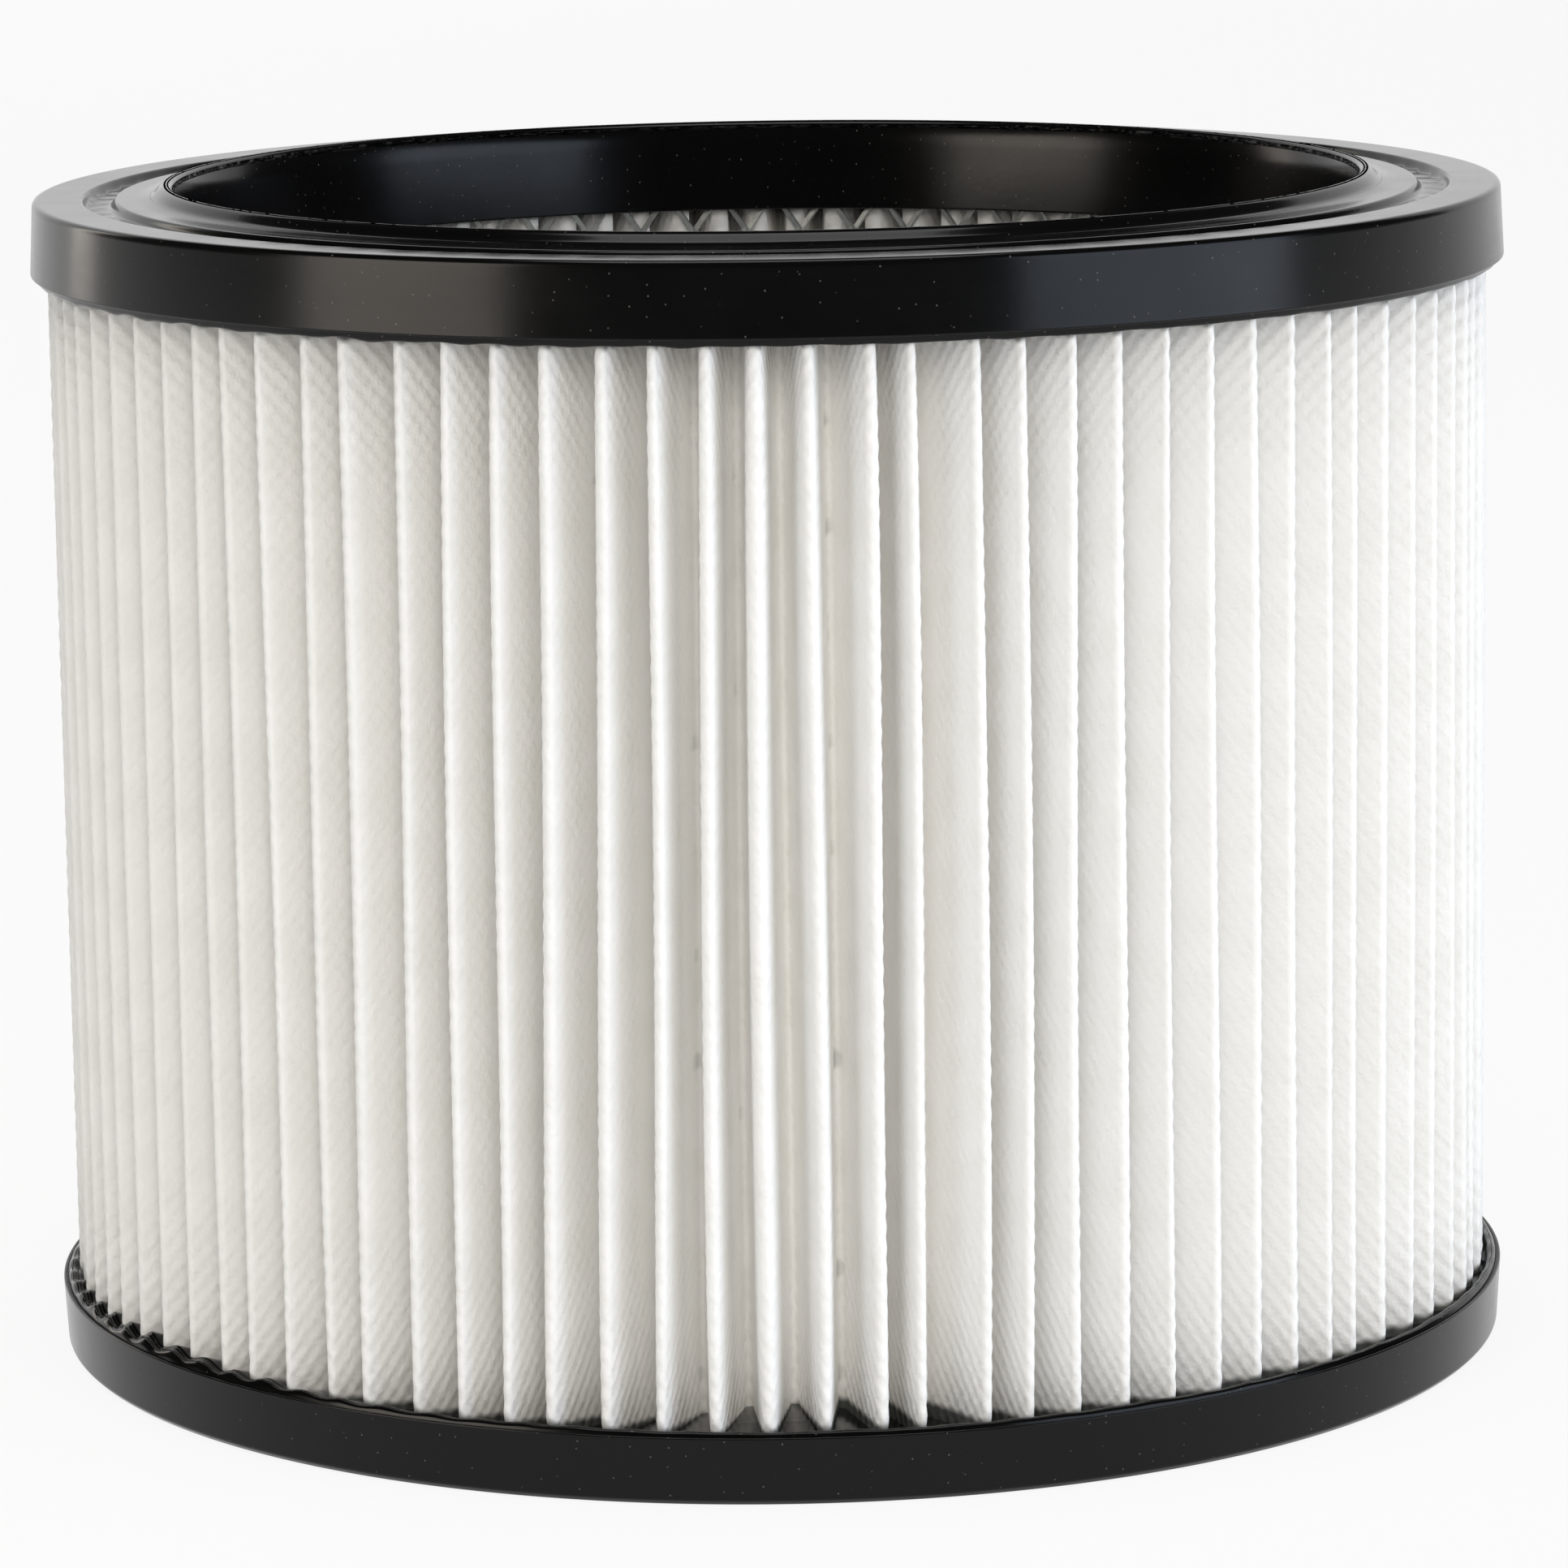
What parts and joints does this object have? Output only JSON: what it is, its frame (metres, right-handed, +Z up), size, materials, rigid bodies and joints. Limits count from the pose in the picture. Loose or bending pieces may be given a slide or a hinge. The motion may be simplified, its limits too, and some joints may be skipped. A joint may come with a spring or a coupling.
{
  "type": "vacuum cleaner cartridge filter",
  "caption": "Pleated cartridge filter of a wet-and-dry vacuum cleaner: white folded medium round an expanded-steel core, between two open black cast end caps.",
  "frame": {"origin": "centre of the base, on the filter's axis", "axes": "+Z up along the filter's axis, towards the sealing lip; X and Y are alike"},
  "size_m": [0.185, 0.185, 0.1475],
  "materials": {
    "cap_polyurethane": "satin black cast polyurethane",
    "medium_polyester": "white point-bonded polyester fleece",
    "core_steel": "dull zinc-coated expanded steel"
  },
  "bodies": {
    "root": {"bottom_cap": "cap_polyurethane", "support_core": "core_steel", "pleated_medium": "medium_polyester", "top_cap": "cap_polyurethane"}
  },
  "joints": []
}
